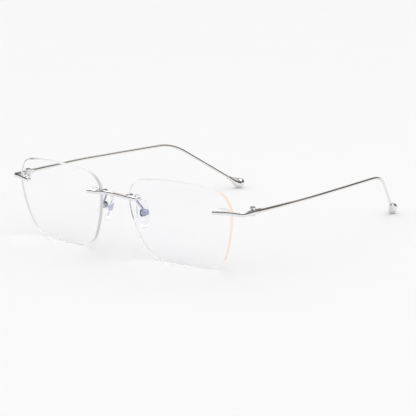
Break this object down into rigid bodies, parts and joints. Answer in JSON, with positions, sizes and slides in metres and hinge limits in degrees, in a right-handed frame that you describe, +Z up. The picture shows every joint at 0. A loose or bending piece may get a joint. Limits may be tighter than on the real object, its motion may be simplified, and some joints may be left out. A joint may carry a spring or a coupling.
{
  "type": "eyeglasses",
  "caption": "Rimless wire eyeglasses with drilled lenses, a bridge bar, folding wire temples with bulb tips and adjustable nose pads.",
  "frame": {"origin": "on the surface the open glasses stand on, below the middle of their bounding box", "axes": "+X to the wearer's left, +Y from the lenses back along the temples, +Z up"},
  "size_m": [0.142, 0.16, 0.0395],
  "materials": {
    "lens": "clear, anti-reflection coated",
    "frame_metal": "polished silver",
    "temple_metal": "polished silver wire",
    "tip_metal": "polished silver",
    "screw": "fine turned steel",
    "bushing": "clear",
    "pad": "clear silicone",
    "pad_core": "stamped steel"
  },
  "bodies": {
    "front": {"bridge_bar": "frame_metal", "lens_left": "lens", "bridge_studs_left": "frame_metal", "bridge_bushing_left": "bushing", "endpiece_left": "frame_metal", "endpiece_studs_left": "frame_metal", "endpiece_bushing_left": "bushing", "nose_pad_arm_left": "frame_metal", "nose_pad_box_left": "frame_metal", "nose_pad_screw_left": "screw", "hinge_front_leaf_left": "frame_metal", "hinge_screw_left": "screw", "lens_right": "lens", "bridge_studs_right": "frame_metal", "bridge_bushing_right": "bushing", "endpiece_right": "frame_metal", "endpiece_studs_right": "frame_metal", "endpiece_bushing_right": "bushing", "nose_pad_arm_right": "frame_metal", "nose_pad_box_right": "frame_metal", "nose_pad_screw_right": "screw", "hinge_front_leaf_right": "frame_metal", "hinge_screw_right": "screw"},
    "temple_left": {"temple_left": "temple_metal", "hinge_temple_leaf_left": "temple_metal", "temple_tip_left": "tip_metal"},
    "temple_right": {"temple_right": "temple_metal", "hinge_temple_leaf_right": "temple_metal", "temple_tip_right": "tip_metal"},
    "nose_pad_left": {"nose_pad_left": "pad", "nose_pad_core_left": "pad_core"},
    "nose_pad_right": {"nose_pad_right": "pad", "nose_pad_core_right": "pad_core"}
  },
  "joints": [
    {"name": "temple_left_fold", "type": "hinge", "parent": "front", "child": "temple_left", "pos_m": [0.06775, -0.06054, 0.0275], "axis": [0, 0, 1], "range_deg": [0, 82]},
    {"name": "temple_right_fold", "type": "hinge", "parent": "front", "child": "temple_right", "pos_m": [-0.06775, -0.06054, 0.0275], "axis": [0.0218, 0.0005, -0.9998], "range_deg": [0, 82]},
    {"name": "nose_pad_left_rock", "type": "hinge", "parent": "front", "child": "nose_pad_left", "pos_m": [0.0125, -0.06838, 0.0208], "axis": [0.4695, 0.8829, 0], "range_deg": [-10, 10]},
    {"name": "nose_pad_right_rock", "type": "hinge", "parent": "front", "child": "nose_pad_right", "pos_m": [-0.0125, -0.06838, 0.0208], "axis": [-0.4695, 0.8829, 0], "range_deg": [-10, 10]}
  ]
}
